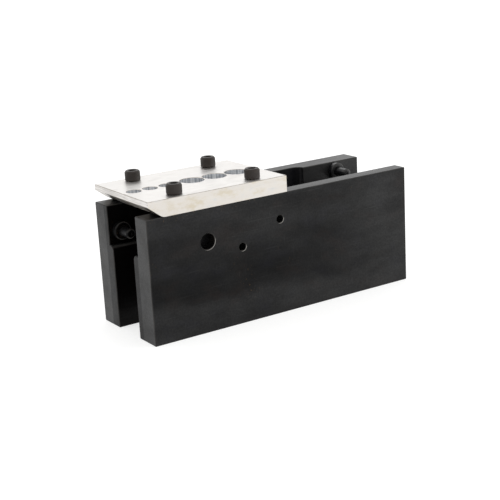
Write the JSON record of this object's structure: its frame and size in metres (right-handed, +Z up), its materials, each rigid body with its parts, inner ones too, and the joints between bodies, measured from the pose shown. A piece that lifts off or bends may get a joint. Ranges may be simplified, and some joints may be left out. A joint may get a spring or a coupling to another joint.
{
  "type": "drill jig",
  "caption": "Two-plate drilling fixture: steel side plates on edge carry an aluminium guide plate held down by socket head cap screws; its guide holes are blind.",
  "frame": {"origin": "on the standing plane, under the middle of the footprint of the whole fixture", "axes": "+X along the side plates, away from the guide plate's undercut end; +Y from the plate with the face holes to the other plate; +Z up"},
  "size_m": [0.192, 0.0666, 0.0927],
  "materials": {
    "side_plate": "chemically blackened ground steel",
    "guide_plate": "bright milled",
    "cap_screw": "black oxide with a knurled head",
    "stub_pin": "blackened, turned",
    "pin_collar": "blackened, turned"
  },
  "bodies": {
    "root": {"near_side_plate": "side_plate", "far_side_plate": "side_plate", "guide_plate": "guide_plate", "front_stub_pin": "stub_pin", "front_pin_collar": "pin_collar", "rear_stub_pin": "stub_pin", "rear_pin_collar": "pin_collar"},
    "screw_near_left": {"cap_screw_near_left": "cap_screw"},
    "screw_near_right": {"cap_screw_near_right": "cap_screw"},
    "screw_far_left": {"cap_screw_far_left": "cap_screw"},
    "screw_far_right": {"cap_screw_far_right": "cap_screw"}
  },
  "joints": [
    {"name": "cap_screw_near_left_back_out", "type": "slide", "parent": "root", "child": "screw_near_left", "axis": [0, 0, 1], "range_m": [0, 0.015]},
    {"name": "cap_screw_near_right_back_out", "type": "slide", "parent": "root", "child": "screw_near_right", "axis": [0, 0, 1], "range_m": [0, 0.015]},
    {"name": "cap_screw_far_left_back_out", "type": "slide", "parent": "root", "child": "screw_far_left", "axis": [0, 0, 1], "range_m": [0, 0.015]},
    {"name": "cap_screw_far_right_back_out", "type": "slide", "parent": "root", "child": "screw_far_right", "axis": [0, 0, 1], "range_m": [0, 0.015]}
  ]
}
